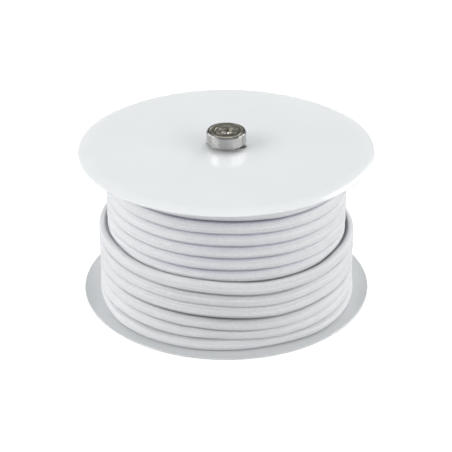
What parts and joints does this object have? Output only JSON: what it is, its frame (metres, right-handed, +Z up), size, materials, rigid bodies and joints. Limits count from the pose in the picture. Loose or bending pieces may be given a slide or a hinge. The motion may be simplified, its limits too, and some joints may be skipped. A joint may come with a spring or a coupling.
{
  "type": "cable spool",
  "caption": "Wire spool with two round white flanges, a full winding of flat braided cable and a ball bearing on its axle end",
  "frame": {"origin": "centre of the lower flange's flat underside, where the spool stands", "axes": "+Z up along the axle towards the bearing, +X to the right and -Y towards the viewer"},
  "size_m": [0.164, 0.164, 0.0979],
  "materials": {
    "white_enamel": "glossy white stoved enamel on pressed steel sheet",
    "core_board": "matt off-white moulded tube",
    "hub_plastic": "matt light grey moulded plastic",
    "axle_steel": "bright turned steel rod",
    "zinc_steel": "zinc plated steel",
    "blue_nylon": "blue nylon locking insert",
    "bearing_steel": "ground bearing steel, lightly oiled",
    "ball_steel": "polished steel balls",
    "cage_steel": "pressed steel cage",
    "shield_steel": "pressed steel shield, dull and slightly olive",
    "cable_braid": "white braided textile over flat cable",
    "tie_nylon": "natural nylon tie",
    "end_sleeve": "white heat-shrunk sleeve",
    "clear_tape": "thin translucent adhesive tape"
  },
  "bodies": {
    "spool": {"top_flange": "white_enamel", "bottom_flange": "white_enamel", "core_tube": "core_board", "top_hub": "hub_plastic", "bottom_hub": "hub_plastic", "axle": "axle_steel", "clamp_washer": "zinc_steel", "clamp_nut": "zinc_steel", "nut_insert": "blue_nylon", "bearing_inner_ring": "bearing_steel", "cable_winding": "cable_braid", "cable_outer_layer": "cable_braid", "cable_inner_tail": "cable_braid", "tail_tie": "tie_nylon", "cable_end_sleeve": "end_sleeve", "end_tape": "clear_tape"},
    "bearing_outer": {"bearing_outer_ring": "bearing_steel", "bearing_top_shield": "shield_steel", "bearing_bottom_shield": "shield_steel"},
    "bearing_cage_set": {"bearing_cage": "cage_steel", "bearing_balls": "ball_steel"}
  },
  "joints": [
    {"name": "bearing_outer_spin", "type": "hinge", "parent": "spool", "child": "bearing_outer", "pos_m": [0, 0, 0.0944], "axis": [0, 0, 1], "continuous": true},
    {"name": "bearing_cage_spin", "type": "hinge", "parent": "spool", "child": "bearing_cage_set", "pos_m": [0, 0, 0.0944], "axis": [0, 0, 1], "continuous": true}
  ],
  "couplings": [
    {"joint": "bearing_cage_spin", "follows": "bearing_outer_spin", "ratio": 0.6323}
  ]
}
